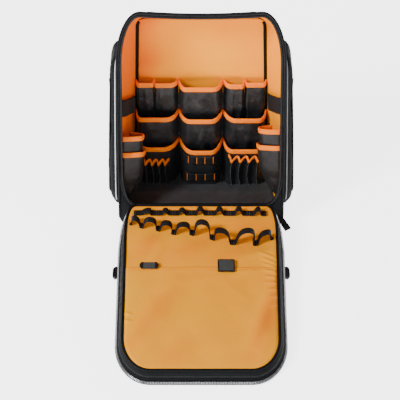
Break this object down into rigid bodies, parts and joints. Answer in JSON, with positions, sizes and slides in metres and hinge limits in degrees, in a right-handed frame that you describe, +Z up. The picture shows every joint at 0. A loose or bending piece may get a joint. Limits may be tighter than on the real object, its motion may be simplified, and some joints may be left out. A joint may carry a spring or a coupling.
{
  "type": "tool backpack",
  "caption": "Upright tool backpack with a moulded base, its front flap unzipped and laid down to show an orange lining, tiers of tool pockets and rows of webbing loops.",
  "frame": {"origin": "middle of the underside of the base, on the floor", "axes": "+X across the bag to its right as seen from the open front, +Y from the front to the back panel, +Z up; the flap lies out along -Y"},
  "size_m": [0.396, 0.6854, 0.4712],
  "materials": {
    "shell_fabric": "heavy black woven polyester",
    "inner_fabric": "black woven pocket cloth",
    "orange_lining": "smooth orange lining cloth",
    "orange_binding": "ribbed orange tape",
    "webbing": "ribbed black webbing",
    "padding_mesh": "black air mesh over foam",
    "zip": "zip tape with dark teeth",
    "moulded_base": "matt moulded rubber",
    "buckle": "fine grained black plastic"
  },
  "bodies": {
    "root": {"back_panel": "shell_fabric", "base_boot": "moulded_base", "binding_low": "orange_binding", "binding_middle": "orange_binding", "binding_top": "orange_binding", "body_shell": "shell_fabric", "closure_tab_left": "webbing", "closure_tab_right": "webbing", "compression_strap_left": "webbing", "compression_strap_right": "webbing", "elastic_band_left": "webbing", "elastic_band_right": "webbing", "flap_gusset": "shell_fabric", "flap_hinge": "shell_fabric", "flap_inner_pocket": "orange_lining", "flap_lining": "orange_lining", "flap_outer_pocket": "shell_fabric", "flap_panel": "shell_fabric", "flap_zip": "zip", "floor_mat": "inner_fabric", "haul_handle": "webbing", "lining_back": "orange_lining", "lining_sides": "orange_lining", "loop_row_high_left": "webbing", "loop_row_high_right": "webbing", "loop_row_low": "webbing", "outer_pocket_left": "shell_fabric", "outer_pocket_right": "shell_fabric", "pleat_binding_left": "orange_binding", "pleat_binding_right": "orange_binding", "pleat_pocket_left": "inner_fabric", "pleat_pocket_right": "inner_fabric", "pocket_low_1": "inner_fabric", "pocket_low_2": "inner_fabric", "pocket_low_3": "inner_fabric", "pocket_middle_1": "inner_fabric", "pocket_middle_2": "inner_fabric", "pocket_middle_3": "inner_fabric", "pocket_top_1": "inner_fabric", "pocket_top_2": "inner_fabric", "pocket_top_3": "inner_fabric", "pocket_top_4": "inner_fabric", "pocket_top_5": "inner_fabric", "rim_zip": "zip", "shoulder_strap_left": "padding_mesh", "shoulder_strap_right": "padding_mesh", "side_binding_lower_left": "orange_binding", "side_binding_lower_right": "orange_binding", "side_binding_upper_left": "orange_binding", "side_binding_upper_right": "orange_binding", "side_buckle_left": "buckle", "side_buckle_right": "buckle", "side_pocket_lower_left": "inner_fabric", "side_pocket_lower_right": "inner_fabric", "side_pocket_upper_left": "inner_fabric", "side_pocket_upper_right": "inner_fabric", "strap_webbing_left": "webbing", "strap_webbing_right": "webbing", "webbing_board": "webbing"}
  },
  "joints": []
}
